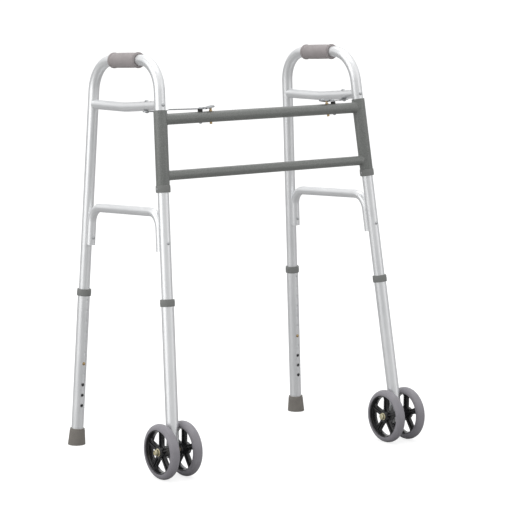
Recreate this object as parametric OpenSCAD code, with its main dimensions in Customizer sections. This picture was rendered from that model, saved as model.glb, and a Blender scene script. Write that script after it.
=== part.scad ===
// Folding two-sided walking frame: two inverted-U side frames turn in the sleeves of a
// welded cross frame, on twin front wheels and rubber-tipped rear legs.
// +X is the user's right, -Y the way the frame travels, +Z up; the floor is z = 0.

/* [Stance] */
// Height of the hand grip's centre line along the side frame
grip_height = 928.5; // [820:0.5:1010]
// Distance of each side frame from the middle, at the floor
foot_x = 330; // [290:0.5:370]
// Half the distance between a side frame's legs, at the floor
half_depth = 206; // [190:0.5:240]
// Backward lean of the whole frame, in degrees
lean = 3.94; // [0:0.01:5]
// Inward lean of each side frame, in degrees
splay = 3.08; // [0:0.01:4]
// Angle of each leg to its side frame's centre line, in degrees
spread = 4.62; // [2:0.01:5]

/* [Tubes] */
// Outside diameter of the side tube
tube_d = 25.4; // [22:0.1:28]
// Wall of the side tube and of the leg extensions
tube_wall = 1.5; // [1.2:0.1:2]
// Centre-line radius of the side tube's two bends
tube_bend_r = 76; // [60:1:85]
// Outside diameter of the upper crossbar
upper_bar_d = 25.4; // [20:0.1:28]
// Outside diameter of the lower crossbar
lower_bar_d = 22.2; // [18:0.1:26]
// Outside diameter of the upper side brace
upper_brace_d = 22; // [18:0.1:24]
// Outside diameter of the lower side brace
lower_brace_d = 20.5; // [18:0.1:24]
// Wall of the crossbars and braces
bar_wall = 1.5; // [1.2:0.1:2]

/* [Cross frame] */
// Wall of the hinge sleeves
sleeve_wall = 2.7; // [2:0.1:4]
// Length of the hinge sleeves
sleeve_l = 169; // [150:1:190]
// Place of the upper crossbar, measured down from the sleeve's top
upper_bar_drop = 20.7; // [17:0.1:30]
// Place of the lower crossbar, measured up from the sleeve's bottom
lower_bar_rise = 21; // [17:0.1:30]

/* [Side braces] */
// Height of the hand grip's centre line above the upper brace
upper_brace_drop = 102; // [90:1:115]
// Dip of the upper brace at its middle
upper_brace_sag = 5.7; // [0:0.1:8]
// Height of the lower brace's straight top along the side frame
lower_brace_height = 584; // [560:1:600]
// Centre-line radius of the lower brace's two bends
lower_brace_bend_r = 38; // [34:1:50]
// How far each tail of the lower brace is cupped onto its leg
cup_depth = 4; // [2:0.1:6]
// Length of each tail below the lower brace's centre line
tail_l = 87; // [70:1:100]

/* [Leg extensions] */
// Height of the extension collars' centre along the leg
collar_height = 382.4; // [340:1:400]
// Spacing of the height holes
hole_pitch = 25.4; // [20:0.1:30]
// Number of height holes in an extension
hole_count = 11; // [9:1:11]
// Hole that the snap button stands in, counted from the top
set_hole = 6; // [4:1:8]
// Distance of the first hole below the collar's centre
first_hole_drop = 18.4; // [16:0.1:30]
// Diameter of the height holes
hole_d = 8; // [6:0.1:10]

/* [Wheels, tips and grips] */
// Diameter of the wheels
wheel_d = 127; // [110:1:150]
// Width of the tyres
tyre_w = 24; // [18:0.5:30]
// Radial thickness of the tyres
tyre_t = 13; // [9:0.5:16]
// Distance between the two wheels of a leg
wheel_gap = 61.9; // [58:0.1:80]
// Diameter of the wheel axles
axle_d = 8; // [6:0.1:10]
// Diameter of a rubber tip at the floor
tip_d = 41.5; // [39:0.5:50]
// Height of a rubber tip
tip_h = 39; // [30:1:50]
// Length of a hand grip
grip_l = 108; // [90:1:116]
// Diameter of a hand grip's barrel
grip_d = 35; // [32:0.5:38]

/* [Fold latches] */
// Distance of the latch bolt behind the hinge axis
bolt_back = 53; // [45:0.5:60]
// Distance of the left bush from the left hinge axis
left_bush_in = 110; // [90:0.5:120]
// Distance of the right bush from the right hinge axis
right_bush_in = 76.5; // [70:0.5:120]
// Distance from bush to stud on the left
left_stud_gap = 29; // [24:0.5:34]
// Distance from bush to stud on the right
right_stud_gap = 19; // [18:0.5:34]
// Fold of the left side frame, in degrees
left_fold = 84; // [60:1:90]
// Fold of the right side frame, in degrees
right_fold = 77; // [60:1:90]
// Width of the latch strips
strip_w = 16; // [14:0.5:18]
// Length of the release paddles
paddle_l = 28; // [24:0.5:32]
// Width of the release paddles
paddle_w = 20; // [16:0.5:24]

/* [Fits] */
// Radial clearance of tubes that slide or turn in one another
slide_gap = 0.1; // [0.05:0.01:0.1]
// Radial clearance of pins and rivets in their holes
pin_gap = 0.05; // [0.02:0.01:0.1]
// Clearance between pieces that pass each other
free_gap = 0.3; // [0.2:0.05:0.5]

/* [Hidden] */
$fn = 72;
sides = [-1, 1];   // left and right; also front and rear along a side frame
over = 1;          // how far a cut runs past the face it opens
seam = 0.02;       // hairline between a bent tube's straights and its bends

// side tube and legs; a place on a leg is its distance along the leg from the floor
tube_r = tube_d / 2;
turn = 90 - spread;                     // angle of each bend
sleeve_bore = tube_d + 2 * slide_gap;
sleeve_d = sleeve_bore + 2 * sleeve_wall;
brace_clear = 1;                        // sleeve top to upper brace
upper_brace_height = grip_height - upper_brace_drop;
brace_s = upper_brace_height / cos(spread);
sleeve_top = brace_s - upper_brace_d / 2 - brace_clear;
sleeve_bottom = sleeve_top - sleeve_l;
upper_bar_s = sleeve_top - upper_bar_drop;
lower_bar_s = sleeve_bottom + lower_bar_rise;

// collars
collar_h = 16.5;
collar_wall = 2.7;                      // round an extension
collar_lip = 4;                         // part of the collar above the extension
tube_below_button = 38.6;

// leg extensions
extension_bore = tube_d + 2 * slide_gap;
extension_d = extension_bore + 2 * tube_wall;
collar_d = extension_d + 2 * collar_wall;
first_hole = collar_height - first_hole_drop;
button_s = first_hole - set_hole * hole_pitch;
tube_end = button_s - tube_below_button;
extension_top = collar_height + collar_h / 2 - collar_lip;

// where the legs meet the floor and the axle
wheel_r = wheel_d / 2;
axle_s = (wheel_r / cos(splay) - half_depth * sin(lean)) / cos(spread + lean);
floor_s = half_depth * sin(lean) / cos(spread - lean);
front_reach = half_depth * cos(lean) - axle_s * sin(spread + lean) + wheel_r;
rear_reach = half_depth * cos(lean) + floor_s * sin(lean - spread) + tip_d / 2;
frame_y = (front_reach - rear_reach) / 2;   // centres the footprint on the origin
tip_floor = 6;                          // rubber under the extension
axle_to_end = 17;                       // front extension below the axle

// latch, in the front leg's own axes: x outward, y rearward, z up the leg
tilt = lean + spread;
strip_t = 2;
strip_clear = 0.5;                      // strip to the upper brace
bush_d = 11.5;
bush_h = 5.3;
bolt_d = 5;
bolt_head_d = 10;
bolt_head_h = 3;
nut_h = 2.5;
keeper_d = 9;
keeper_h = 3;
strip_end = 10;
joggle_l = 8;
joggle_clear = 1;                       // strip's raised part to the bush, folded
paddle_t = 1.5;
paddle_rise = 13;                       // upturn of the paddle, in degrees
bead_d = 2.6;
curl_d = 5;
curl_out = 10.5;                        // keeper to the paddle's hinge line
stud_d = 7.8;
stud_neck_d = 5.4;
stud_h = 3.6;
stud_tail_d = 6;
stud_tail_h = 4;
rivet_tail_d = 8;
bar_top = upper_bar_d / 2;

// snap buttons
button_d = hole_d - 0.6;
button_out = 2.6;                       // how far a button stands out of its hole
button_base = 8.6;                      // a button's inner face, from the leg's axis
button_flange_d = button_d + 2;
button_flange_t = 1.2;
leaf_t = 0.6;
leaf_w = 8;
leaf_l = 30;

// wheels
rim_r = wheel_r - tyre_t;
rim_t = 5;
rim_w = 20;
boss_d = 29;
boss_out = 11;
boss_in = wheel_gap / 2 - extension_d / 2 / cos(splay) - boss_d / 2 * tan(splay) - free_gap;
spoke_count = 5;
spoke_w = 15;
spoke_t = 6;
rib_w = 4;
rib_h = 15;
bearing_d = 14;
bearing_flange_d = 18;
bearing_flange_t = 1.5;
bolt_seat = 0.4;                        // play between the wheels and the bolt's head
axle_head_d = 15;
axle_head_h = 5.5;
axle_nut_d = 14.5;
axle_nut_h = 8;

// rivets
rivet_d = 5;
rivet_head_d = 9;
rivet_head_h = 2.2;

function bush_in(side) = side < 0 ? left_bush_in : right_bush_in;
function stud_gap(side) = side < 0 ? left_stud_gap : right_stud_gap;

// a point of the right side frame's plane: u rearward, w up
function frame_point(u, w) =
    let (y = u * cos(lean) + w * sin(lean), z = w * cos(lean) - u * sin(lean))
    [foot_x - z * sin(splay), frame_y + y, z * cos(splay)];
function leg_point(end, s) =
    frame_point(end * (half_depth - s * sin(spread)), s * cos(spread));

// distance inboard along the crossbar, as x and y across the front leg
function inboard(b) = [-b * cos(splay), -b * sin(tilt) * sin(splay)];
function bar_rise(b) = b * cos(tilt) * sin(splay);
function bush_at(side) = inboard(bush_in(side));
function strip_vector(side) = bush_at(side) - [0, bolt_back];
function strip_c(side) = norm(strip_vector(side));
function strip_angle(side) = atan2(strip_vector(side).y, strip_vector(side).x);
function strip_high(side) =
    upper_bar_s + bar_rise(bush_in(side)) + bar_top + bush_h + free_gap;
// distance from the bolt to the bush with the side frame folded
function folded_c(side) =
    let (fold = side < 0 ? left_fold : right_fold)
    norm(bush_at(side) - bolt_back * [-sin(fold), cos(fold)]);

// the upper brace's centre line along the leg, at a distance y behind it
brace_mid_y = half_depth * cos(spread) - (upper_brace_height - upper_brace_sag) * sin(spread);
brace_mid_s = half_depth * sin(spread) + (upper_brace_height - upper_brace_sag) * cos(spread);
function brace_at(y) = brace_s + (brace_mid_s - brace_s) * y / brace_mid_y;
strip_low = brace_at(bolt_back - strip_end) - upper_brace_d / 2 - strip_clear - strip_t;

// ---- placing -------------------------------------------------------------------------

// onto a side frame: y rearward, z up its centre line
module on_side(side) {
    mirror([side < 0 ? 1 : 0, 0, 0])
        translate([foot_x, frame_y, 0]) rotate([0, -splay, 0]) rotate([-lean, 0, 0]) children();
}

// onto a leg of the side frame (-1 front, 1 rear): z up the leg
module on_leg(end) {
    translate([0, end * half_depth, 0]) rotate([end * spread, 0, 0]) children();
}

// onto a leg, turned so that -y faces the other leg
module facing_in(end) {
    on_leg(end) rotate([0, 0, end < 0 ? 180 : 0]) children();
}

// onto the axle's middle, level, for either side
module on_axle(side) {
    mirror([side < 0 ? 1 : 0, 0, 0]) translate(leg_point(-1, axle_s)) children();
}

// onto the upper crossbar's centre line at a distance from a hinge axis, z up the leg
module on_bar(side, b) {
    on_side(side) on_leg(-1)
        translate([inboard(b).x, inboard(b).y, upper_bar_s + bar_rise(b)]) children();
}

module rod(d, x0, x1) {
    translate([x0, 0, 0]) rotate([0, 90, 0]) cylinder(d = d, h = x1 - x0);
}

// a low round head standing on z = 0
module dome(d, h) {
    r = (d * d / 4 + h * h) / (2 * h);
    intersection() {
        translate([0, 0, h - r]) sphere(r = r);
        cylinder(d = d, h = h);
    }
}

// ---- side frame ----------------------------------------------------------------------

// the cross-section of a pipe
module ring(d, wall) {
    difference() {
        circle(d = d);
        circle(d = d - 2 * wall);
    }
}

// reach of a bend along its straights, and where the bends of an inverted U start;
// its legs run beside the side frame's legs, `inset` towards each other
function bend_reach(bend_r) = bend_r * tan(turn / 2);
function arch_u(inset, top_w, bend_r) =
    half_depth - top_w * tan(spread) - inset / cos(spread) - bend_reach(bend_r);
function arch_s(inset, top_w, bend_r) =
    (top_w + inset * sin(spread)) / cos(spread) - bend_reach(bend_r);

// one bend of an inverted U, with its cross-section as the child
module arch_bend(end, inset, top_w, bend_r) {
    mirror([0, end < 0 ? 1 : 0, 0])
        translate([0, arch_u(inset, top_w, bend_r), top_w - bend_r])
            rotate([90, 0, 90]) rotate([0, 0, spread])
                rotate_extrude(angle = turn) translate([bend_r, 0]) children();
}

module arch_top(inset, top_w, bend_r) {
    u = arch_u(inset, top_w, bend_r) - seam;
    translate([0, u, top_w]) rotate([90, 0, 0]) linear_extrude(2 * u) children();
}

module side_tube(side) {
    leg_l = arch_s(0, grip_height, tube_bend_r) - tube_end;
    color("gainsboro") on_side(side) difference() {
        union() {
            for (end = sides) {
                on_leg(end) translate([0, 0, tube_end])
                    linear_extrude(leg_l - seam) ring(tube_d, tube_wall);
                arch_bend(end, 0, grip_height, tube_bend_r) ring(tube_d, tube_wall);
            }
            arch_top(0, grip_height, tube_bend_r) ring(tube_d, tube_wall);
        }
        for (end = sides) facing_in(end) {
            translate([0, 0, button_s]) rotate([90, 0, 0]) cylinder(d = hole_d, h = tube_d);
            for (s = rivet_places) translate([0, 0, s]) rotate([90, 0, 0])
                cylinder(d = rivet_d + 2 * pin_gap, h = 2 * tube_d, center = true);
        }
        on_leg(-1) collar_pin(rivet_d + 2 * pin_gap, over);
    }
}

module hand_grip(side) {
    flange_w = 5;
    neck_w = 3;
    end_w = 2;
    half = grip_l / 2;
    bore = tube_r + pin_gap;
    color("rosybrown") on_side(side) translate([0, 0, grip_height]) rotate([90, 0, 0])
        rotate_extrude() {
            barrel = half - end_w - flange_w - neck_w;
            translate([bore, -barrel]) square([grip_d / 2 - bore, 2 * barrel]);
            for (z = [-half, half - end_w]) translate([bore, z])
                square([grip_d / 2 - 1 - bore, end_w]);
            for (z = [-barrel - neck_w, barrel]) translate([bore, z])
                square([grip_d / 2 - 1 - bore, neck_w]);
            for (z = [-half + end_w, half - end_w - flange_w]) translate([bore, z])
                square([grip_d / 2 + 0.9 - bore, flange_w]);
        }
}

// one straight half of the upper brace, from its leg's axis down to its dip
module brace_half(end, d, from) {
    half = half_depth - upper_brace_height * tan(spread);
    fall = atan(upper_brace_sag / half);
    mirror([0, end < 0 ? 1 : 0, 0]) intersection() {
        translate([0, half, upper_brace_height]) rotate([90 + fall, 0, 0])
            translate([0, 0, from]) cylinder(d = d, h = half);
        translate([-d, 0, upper_brace_height - 2 * d]) cube([2 * d, half, 4 * d]);
    }
}

module upper_brace(side) {
    plug = 34;      // solid swaged end, from the leg's axis
    color("gainsboro") on_side(side) for (end = sides) difference() {
        brace_half(end, upper_brace_d, 0);
        brace_half(end, upper_brace_d - 2 * bar_wall, plug);
        on_leg(end) {
            translate([0, 0, brace_s - tube_d]) cylinder(d = tube_d + 2 * pin_gap, h = 2 * tube_d);
            upper_rivet_hole(end);
        }
        if (end < 0) on_leg(end) translate([0, bolt_back, brace_at(bolt_back)])
            cylinder(d = bolt_d + 2 * pin_gap, h = 2 * upper_brace_d, center = true);
    }
}

upper_rivet_l = 26;      // grip of the upper rivets, from the leg's axis into the brace
module upper_rivet_hole(end) {
    rotate([0, 0, end < 0 ? 180 : 0]) translate([0, 0, brace_s]) rotate([90, 0, 0])
        cylinder(d = rivet_d + 2 * pin_gap, h = upper_rivet_l + free_gap);
}

tail_inset = tube_r + lower_brace_d / 2 - cup_depth;
tail_end = (lower_brace_height - tail_l) / cos(spread);
tail_rivet_s = tail_end + 18;
rivet_places = [brace_s, tail_rivet_s];

// the space that a leg takes, with `wall` round it
module leg_space(end, wall) {
    on_leg(end) translate([0, 0, tail_end - over])
        cylinder(r = tube_r + pin_gap + wall, h = 2 * tail_l);
}

module lower_brace(side) {
    hollow_d = lower_brace_d - 2 * bar_wall;
    tail_run = arch_s(tail_inset, lower_brace_height, lower_brace_bend_r) - tail_end;
    color("gainsboro") on_side(side) {
        for (end = sides) {
            // a tail, cupped onto its leg
            facing_in(end) translate([0, 0, tail_end]) difference() {
                linear_extrude(tail_run - seam) difference() {
                    translate([0, -tail_inset]) circle(d = lower_brace_d);
                    circle(r = tube_r + pin_gap);
                    difference() {
                        translate([0, -tail_inset]) circle(d = hollow_d);
                        circle(r = tube_r + pin_gap + bar_wall);
                    }
                }
                translate([0, 0, tail_rivet_s - tail_end]) rotate([90, 0, 0])
                    cylinder(d = rivet_d + 2 * pin_gap, h = 3 * tube_d);
            }
            difference() {
                arch_bend(end, tail_inset, lower_brace_height, lower_brace_bend_r)
                    circle(d = lower_brace_d);
                leg_space(end, 0);
                difference() {
                    arch_bend(end, tail_inset, lower_brace_height, lower_brace_bend_r)
                        circle(d = hollow_d);
                    leg_space(end, bar_wall);
                }
            }
        }
        arch_top(tail_inset, lower_brace_height, lower_brace_bend_r)
            ring(lower_brace_d, bar_wall);
    }
}

// a rivet along y from y0 (head) to y1 (clinched end)
module rivet(y0, y1, second_head) {
    translate([0, y0, 0]) rotate([90, 0, 0]) dome(rivet_head_d, rivet_head_h);
    translate([0, y1, 0]) rotate([90, 0, 0]) cylinder(d = rivet_d, h = y1 - y0);
    if (second_head) translate([0, y1, 0]) rotate([-90, 0, 0]) dome(rivet_head_d - 1, rivet_head_h);
}

module collar_pin(d, extra) {
    translate([0, 0, sleeve_bottom - collar_h / 2]) rotate([0, 90, 0])
        cylinder(d = d, h = collar_d + 2 * extra, center = true);
}

module frame_rivets(side) {
    color("silver") on_side(side) {
        for (end = sides) facing_in(end) {
            // through the leg into the upper brace's solid end, head outside
            translate([0, 0, brace_s]) rotate([0, 0, 180])
                rivet(-tube_r - pin_gap, upper_rivet_l, false);
            // through the leg and the lower brace's cupped tail
            translate([0, 0, tail_rivet_s])
                rivet(-tail_inset - lower_brace_d / 2 - pin_gap, tube_r + pin_gap, true);
        }
        on_leg(-1) collar_pin(rivet_d, 0);
    }
}

module stop_collar(side) {
    color("gray") on_side(side) on_leg(-1) difference() {
        translate([0, 0, sleeve_bottom - collar_h]) cylinder(d = collar_d, h = collar_h);
        translate([0, 0, sleeve_bottom - collar_h - over])
            cylinder(d = tube_d + 2 * pin_gap, h = collar_h + 2 * over);
        collar_pin(rivet_d + 2 * pin_gap, over);
    }
}

module brace_bolt(side) {
    top = brace_at(bolt_back + bolt_head_d / 2) + upper_brace_d / 2;
    bottom = strip_low - free_gap;
    color("silver") on_side(side) on_leg(-1) translate([0, bolt_back, 0]) {
        translate([0, 0, bottom]) cylinder(d = bolt_d, h = top - bottom);
        translate([0, 0, top]) dome(bolt_head_d, bolt_head_h);
        translate([0, 0, bottom]) mirror([0, 0, 1]) dome(bolt_head_d, nut_h);
    }
}

// ---- cross frame ---------------------------------------------------------------------

module sleeve_solid(side, d, gap) {
    on_side(side) on_leg(-1) translate([0, 0, sleeve_bottom - gap])
        cylinder(d = d, h = sleeve_l + 2 * gap);
}

module hinge_sleeve(side) {
    color("dimgray") difference() {
        sleeve_solid(side, sleeve_d, 0);
        sleeve_solid(side, sleeve_bore, over);
    }
}

module crossbar(d, s) {
    axis = leg_point(-1, s);
    color("dimgray") difference() {
        translate([0, axis.y, axis.z]) rod(d, -axis.x, axis.x);
        translate([0, axis.y, axis.z]) rod(d - 2 * bar_wall, -axis.x - over, axis.x + over);
        for (side = sides) sleeve_solid(side, sleeve_d + 2 * pin_gap, 0);
        if (s == upper_bar_s) for (side = sides) {
            latch_hole(side, bush_in(side));
            latch_hole(side, bush_in(side) + stud_gap(side));
        }
    }
}

module latch_hole(side, b) {
    on_bar(side, b) cylinder(d = rivet_d + 2 * pin_gap, h = 2 * upper_bar_d, center = true);
}

// a saddle-shaped foot, so that what stands on the round crossbar follows it
module bar_core() {
    axis = leg_point(-1, upper_bar_s);
    translate([0, axis.y, axis.z]) rod(upper_bar_d + 2 * pin_gap, -axis.x, axis.x);
}

module latch_bushes() {
    color([0.13, 0.13, 0.12]) for (side = sides) difference() {
        on_bar(side, bush_in(side)) cylinder(d = bush_d, h = bar_top + bush_h);
        bar_core();
        latch_hole(side, bush_in(side));
    }
}

module latch_rivets() {
    countersink = 1;
    color("silver") for (side = sides) on_bar(side, bush_in(side)) {
        tail = bar_top + pin_gap + rivet_tail_d / 2 * sin(splay);
        translate([0, 0, -tail])
            cylinder(d = rivet_d, h = tail + bar_top + bush_h - countersink);
        translate([0, 0, -tail]) mirror([0, 0, 1]) dome(rivet_tail_d, rivet_head_h);
    }
}

module latch_studs() {
    color("goldenrod") for (side = sides) {
        b = bush_in(side) + stud_gap(side);
        shoulder = bar_top + stud_h - 1.5;
        tail = bar_top + pin_gap + stud_tail_d / 2 * sin(splay);
        difference() {
            on_bar(side, b) {
                cylinder(d = stud_d, h = shoulder);
                cylinder(d = stud_neck_d, h = bar_top + stud_h);
            }
            bar_core();
        }
        on_bar(side, b) {
            translate([0, 0, -tail]) cylinder(d = rivet_d, h = tail + shoulder);
            translate([0, 0, -tail - stud_tail_h]) cylinder(d = stud_tail_d, h = stud_tail_h);
        }
    }
}

// ---- fold latches --------------------------------------------------------------------

// onto a strip: x from the bolt towards the bush, z up the leg, z = 0 at the raised part
module on_strip(side) {
    on_side(side) on_leg(-1) translate([0, bolt_back, strip_high(side)])
        rotate([0, 0, strip_angle(side)]) children();
}

// onto the keeper, x along the crossbar towards the middle
module on_paddle(side) {
    on_side(side) on_leg(-1)
        translate([bush_at(side).x, bush_at(side).y, strip_high(side)])
            rotate([0, 0, atan2(inboard(1).y, inboard(1).x)]) children();
}

module strip_outline(side) {
    c = strip_c(side);
    slot_w = rivet_d + 1;
    slot_start = folded_c(side);
    difference() {
        union() {
            circle(r = strip_end);
            translate([0, -strip_w / 2]) square([c, strip_w]);
            translate([c, 0]) circle(d = strip_w);
        }
        circle(d = bolt_d + 2 * slide_gap);
        translate([slot_start, -slot_w / 2]) square([c - slot_start, slot_w]);
        translate([slot_start, 0]) circle(d = slot_w);
    }
}

module latch_strip(side) {
    c = strip_c(side);
    drop = strip_high(side) - strip_low;
    joggle_end = folded_c(side) - bush_d / 2 - joggle_clear;
    joggle_start = joggle_end - joggle_l;
    knuckle_w = 12;
    curl_mouth = [-25, 18, 62];     // from under the leaf at rest to over it when lifted
    color("silver") {
        on_strip(side) intersection() {
            translate([0, 0, -drop - over]) linear_extrude(drop + strip_t + 2 * over)
                strip_outline(side);
            translate([0, strip_w, 0]) rotate([90, 0, 0]) linear_extrude(2 * strip_w) polygon([
                [-strip_w, -drop], [joggle_start, -drop], [joggle_end, 0], [c + strip_w, 0],
                [c + strip_w, strip_t], [joggle_end, strip_t], [joggle_start, strip_t - drop],
                [-strip_w, strip_t - drop]]);
        }
        on_strip(side) translate([c, 0, strip_t / 2]) {
            cylinder(d = rivet_d + 2, h = strip_t / 2);
            translate([0, 0, strip_t / 2]) dome(keeper_d, keeper_h);
        }
        on_paddle(side) difference() {
            union() {
                translate([strip_w / 4, -knuckle_w / 2, 0])
                    cube([curl_out - strip_w / 4, knuckle_w, strip_t]);
                translate([curl_out, knuckle_w / 2, curl_d / 2]) rotate([90, 0, 0])
                    cylinder(d = curl_d, h = knuckle_w);
            }
            translate([curl_out, knuckle_w, curl_d / 2]) rotate([90, 0, 0])
                cylinder(d = bead_d + 2 * slide_gap, h = 2 * knuckle_w);
            // the curl's mouth, wide enough for the paddle's travel
            translate([curl_out, knuckle_w, curl_d / 2]) rotate([90, 0, 0])
                linear_extrude(2 * knuckle_w) polygon([
                    [0, 0], for (a = curl_mouth) curl_d * [cos(a), sin(a)]]);
        }
    }
}

module on_leaf(side) {
    on_paddle(side) translate([curl_out, 0, curl_d / 2]) rotate([0, -paddle_rise, 0]) children();
}

module release_paddle(side) {
    root_w = 11;
    color("silver") on_leaf(side) {
        translate([0, root_w / 2, 0]) rotate([90, 0, 0]) cylinder(d = bead_d, h = root_w);
        translate([0, -root_w / 2, -paddle_t / 2]) cube([paddle_l / 2, root_w, paddle_t]);
        translate([0, 0, -paddle_t / 2]) linear_extrude(paddle_t) {
            translate([paddle_l - paddle_w / 2, 0]) circle(d = paddle_w);
            translate([curl_d, -paddle_w / 2])
                square([paddle_l - paddle_w / 2 - curl_d, paddle_w]);
        }
    }
}

// brass catch under the paddle, over the stud when the frame is open
module paddle_catch(side) {
    x = stud_gap(side) - curl_out;
    under = upper_bar_s + bar_rise(bush_in(side) + stud_gap(side)) + bar_top + stud_h + free_gap;
    color("goldenrod") difference() {
        on_bar(side, bush_in(side) + stud_gap(side))
            translate([0, 0, bar_top + stud_h + free_gap])
                cylinder(d = stud_neck_d + 1, h = curl_d + x);
        on_leaf(side) translate([-paddle_l, -paddle_w, -paddle_t / 2])
            cube([3 * paddle_l, 2 * paddle_w, paddle_l]);
    }
}

// ---- leg extensions ------------------------------------------------------------------

module extension_tube(end, bottom) {
    difference() {
        translate([0, 0, bottom]) cylinder(d = extension_d, h = extension_top - bottom);
        translate([0, 0, bottom - over])
            cylinder(d = extension_bore, h = extension_top - bottom + 2 * over);
        rotate([0, 0, end < 0 ? 180 : 0]) for (i = [0 : hole_count - 1])
            translate([0, 0, first_hole - i * hole_pitch]) rotate([90, 0, 0])
                cylinder(d = hole_d, h = extension_d);
    }
}

module rear_extension(side) {
    color("gainsboro") on_side(side) on_leg(1) extension_tube(1, floor_s + tip_floor);
}

module front_extension(side) {
    color("gainsboro") difference() {
        on_side(side) on_leg(-1) extension_tube(-1, axle_s - axle_to_end);
        on_axle(side) rod(axle_d + 2 * pin_gap, -extension_d, extension_d);
    }
}

module collar(side, end) {
    color("gray") on_side(side) on_leg(end)
        translate([0, 0, collar_height - collar_h / 2]) difference() {
            cylinder(d = collar_d, h = collar_h);
            translate([0, 0, -over])
                cylinder(d = extension_d + 2 * pin_gap, h = collar_h - collar_lip + over);
            cylinder(d = extension_bore, h = collar_h + over);
        }
}

module rubber_tip(side) {
    foot_h = 4;
    shoulder_r = 1.5;
    top_r = extension_d / 2 + 3.3;
    color("gray") difference() {
        on_side(side) on_leg(1) translate([0, 0, floor_s]) difference() {
            rotate_extrude() {
                polygon([
                    [0, -2 * over], [tip_d / 2, -2 * over], [tip_d / 2, foot_h],
                    [top_r, tip_h - shoulder_r], [top_r - shoulder_r, tip_h], [0, tip_h]]);
            }
            translate([0, 0, tip_floor])
                cylinder(d = extension_d + 2 * pin_gap, h = tip_h);
        }
        translate([-foot_x * 2, -half_depth * 2, -tip_h])
            cube([foot_x * 4, half_depth * 4, tip_h]);
    }
}

// ---- wheels --------------------------------------------------------------------------

// onto a wheel's centre; x points away from the leg
module on_wheel(side, outer) {
    on_axle(side) mirror([outer ? 0 : 1, 0, 0]) translate([wheel_gap / 2, 0, 0]) children();
}

module around_x() {
    rotate([0, 90, 0]) children();
}

module tyre(side, outer) {
    color("slategray") on_wheel(side, outer) around_x() rotate_extrude() intersection() {
        translate([wheel_r - tyre_w / 2, 0]) circle(d = tyre_w);
        translate([rim_r + pin_gap, -tyre_w / 2]) square([tyre_t, tyre_w]);
    }
}

// the spokes' outline, one of them pointing up
module star(w) {
    for (i = [0 : spoke_count - 1]) rotate([0, 0, 180 + i * 360 / spoke_count])
        translate([boss_d / 4, -w / 2]) square([rim_r - rim_t / 2 - boss_d / 4, w]);
}

module hub(side, outer) {
    color([0.1, 0.1, 0.11]) on_wheel(side, outer) around_x() difference() {
        union() {
            rotate_extrude() translate([rim_r - rim_t, -rim_w / 2]) square([rim_t, rim_w]);
            translate([0, 0, -boss_in]) cylinder(d = boss_d, h = boss_in + boss_out);
            translate([0, 0, -spoke_t / 2]) linear_extrude(spoke_t) star(spoke_w);
            translate([0, 0, -rib_h / 2]) linear_extrude(rib_h) star(rib_w);
        }
        cylinder(d = bearing_d + 2 * pin_gap, h = wheel_d, center = true);
        translate([0, 0, boss_out - bearing_flange_t])
            cylinder(d = bearing_flange_d + 2 * pin_gap, h = bearing_flange_t + over);
    }
}

// plain bush pressed into the hub, flanged at its outer end
module hub_bearing(side, outer) {
    color("wheat") on_wheel(side, outer) around_x() difference() {
        union() {
            translate([0, 0, -boss_in]) cylinder(d = bearing_d, h = boss_in + boss_out);
            translate([0, 0, boss_out - bearing_flange_t])
                cylinder(d = bearing_flange_d, h = bearing_flange_t);
        }
        cylinder(d = axle_d + 2 * pin_gap, h = wheel_d, center = true);
    }
}

// shoulder bolt and lock nut, as two solids
module axle_bolt(side) {
    end = wheel_gap / 2 + boss_out + bolt_seat;
    color("khaki") on_axle(side) {
        rod(axle_d, -end, end);
        translate([-end, 0, 0]) rod(axle_head_d, -axle_head_h, 0);
        translate([end, 0, 0]) difference() {
            rod(axle_nut_d, 0, axle_nut_h);
            rod(axle_d + 2 * pin_gap, -over, axle_nut_h - 2);
        }
        rod(axle_d, end, end + axle_nut_h - 2 - pin_gap);
    }
}

// ---- snap buttons --------------------------------------------------------------------

module on_button(side, end) {
    on_side(side) facing_in(end) translate([0, 0, button_s]) rotate([90, 0, 0]) children();
}

module snap_button(side, end) {
    l = extension_d / 2 + button_out - button_base;
    color("goldenrod") on_button(side, end) translate([0, 0, button_base]) {
        cylinder(d = button_d, h = l - 1.5);
        translate([0, 0, l - 1.5]) dome(button_d, 1.5);
        cylinder(d = button_flange_d, h = button_flange_t);
    }
}

// spring-steel V in the tube: a leaf behind the button and one against the far wall
module snap_spring(side, end) {
    bore = tube_d / 2 - tube_wall;
    bend_r = 3;
    far = bore - 1.2;
    near = button_base;
    color("silver") on_button(side, end) rotate([90, 0, -90]) translate([0, 0, -leaf_w / 2])
        linear_extrude(leaf_w) {
            // drawn with x down the leg and y out towards the button
            polygon([[-6, near - leaf_t], [-6, near], [6, near], [leaf_l, bend_r],
                [leaf_l, -bend_r], [-6, -far], [-6, leaf_t - far],
                [leaf_l - leaf_t, leaf_t - bend_r], [leaf_l - leaf_t, bend_r - leaf_t],
                [6, near - leaf_t]]);
        }
}

hinge_sleeve(-1);  // hinge_sleeve_left
hinge_sleeve(1);  // hinge_sleeve_right
crossbar(upper_bar_d, upper_bar_s);  // upper_crossbar
crossbar(lower_bar_d, lower_bar_s);  // lower_crossbar
latch_bushes();
latch_studs();
latch_rivets();
side_tube(-1);  // side_tube_left
side_tube(1);  // side_tube_right
hand_grip(-1);  // hand_grip_left
hand_grip(1);  // hand_grip_right
upper_brace(-1);  // upper_brace_left
upper_brace(1);  // upper_brace_right
lower_brace(-1);  // lower_brace_left
lower_brace(1);  // lower_brace_right
frame_rivets(-1);  // frame_rivets_left
frame_rivets(1);  // frame_rivets_right
stop_collar(-1);  // stop_collar_left
stop_collar(1);  // stop_collar_right
brace_bolt(-1);  // brace_bolt_left
brace_bolt(1);  // brace_bolt_right
latch_strip(-1);  // latch_strip_left
latch_strip(1);  // latch_strip_right
release_paddle(-1);  // release_paddle_left
release_paddle(1);  // release_paddle_right
paddle_catch(-1);  // paddle_catch_left
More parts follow.
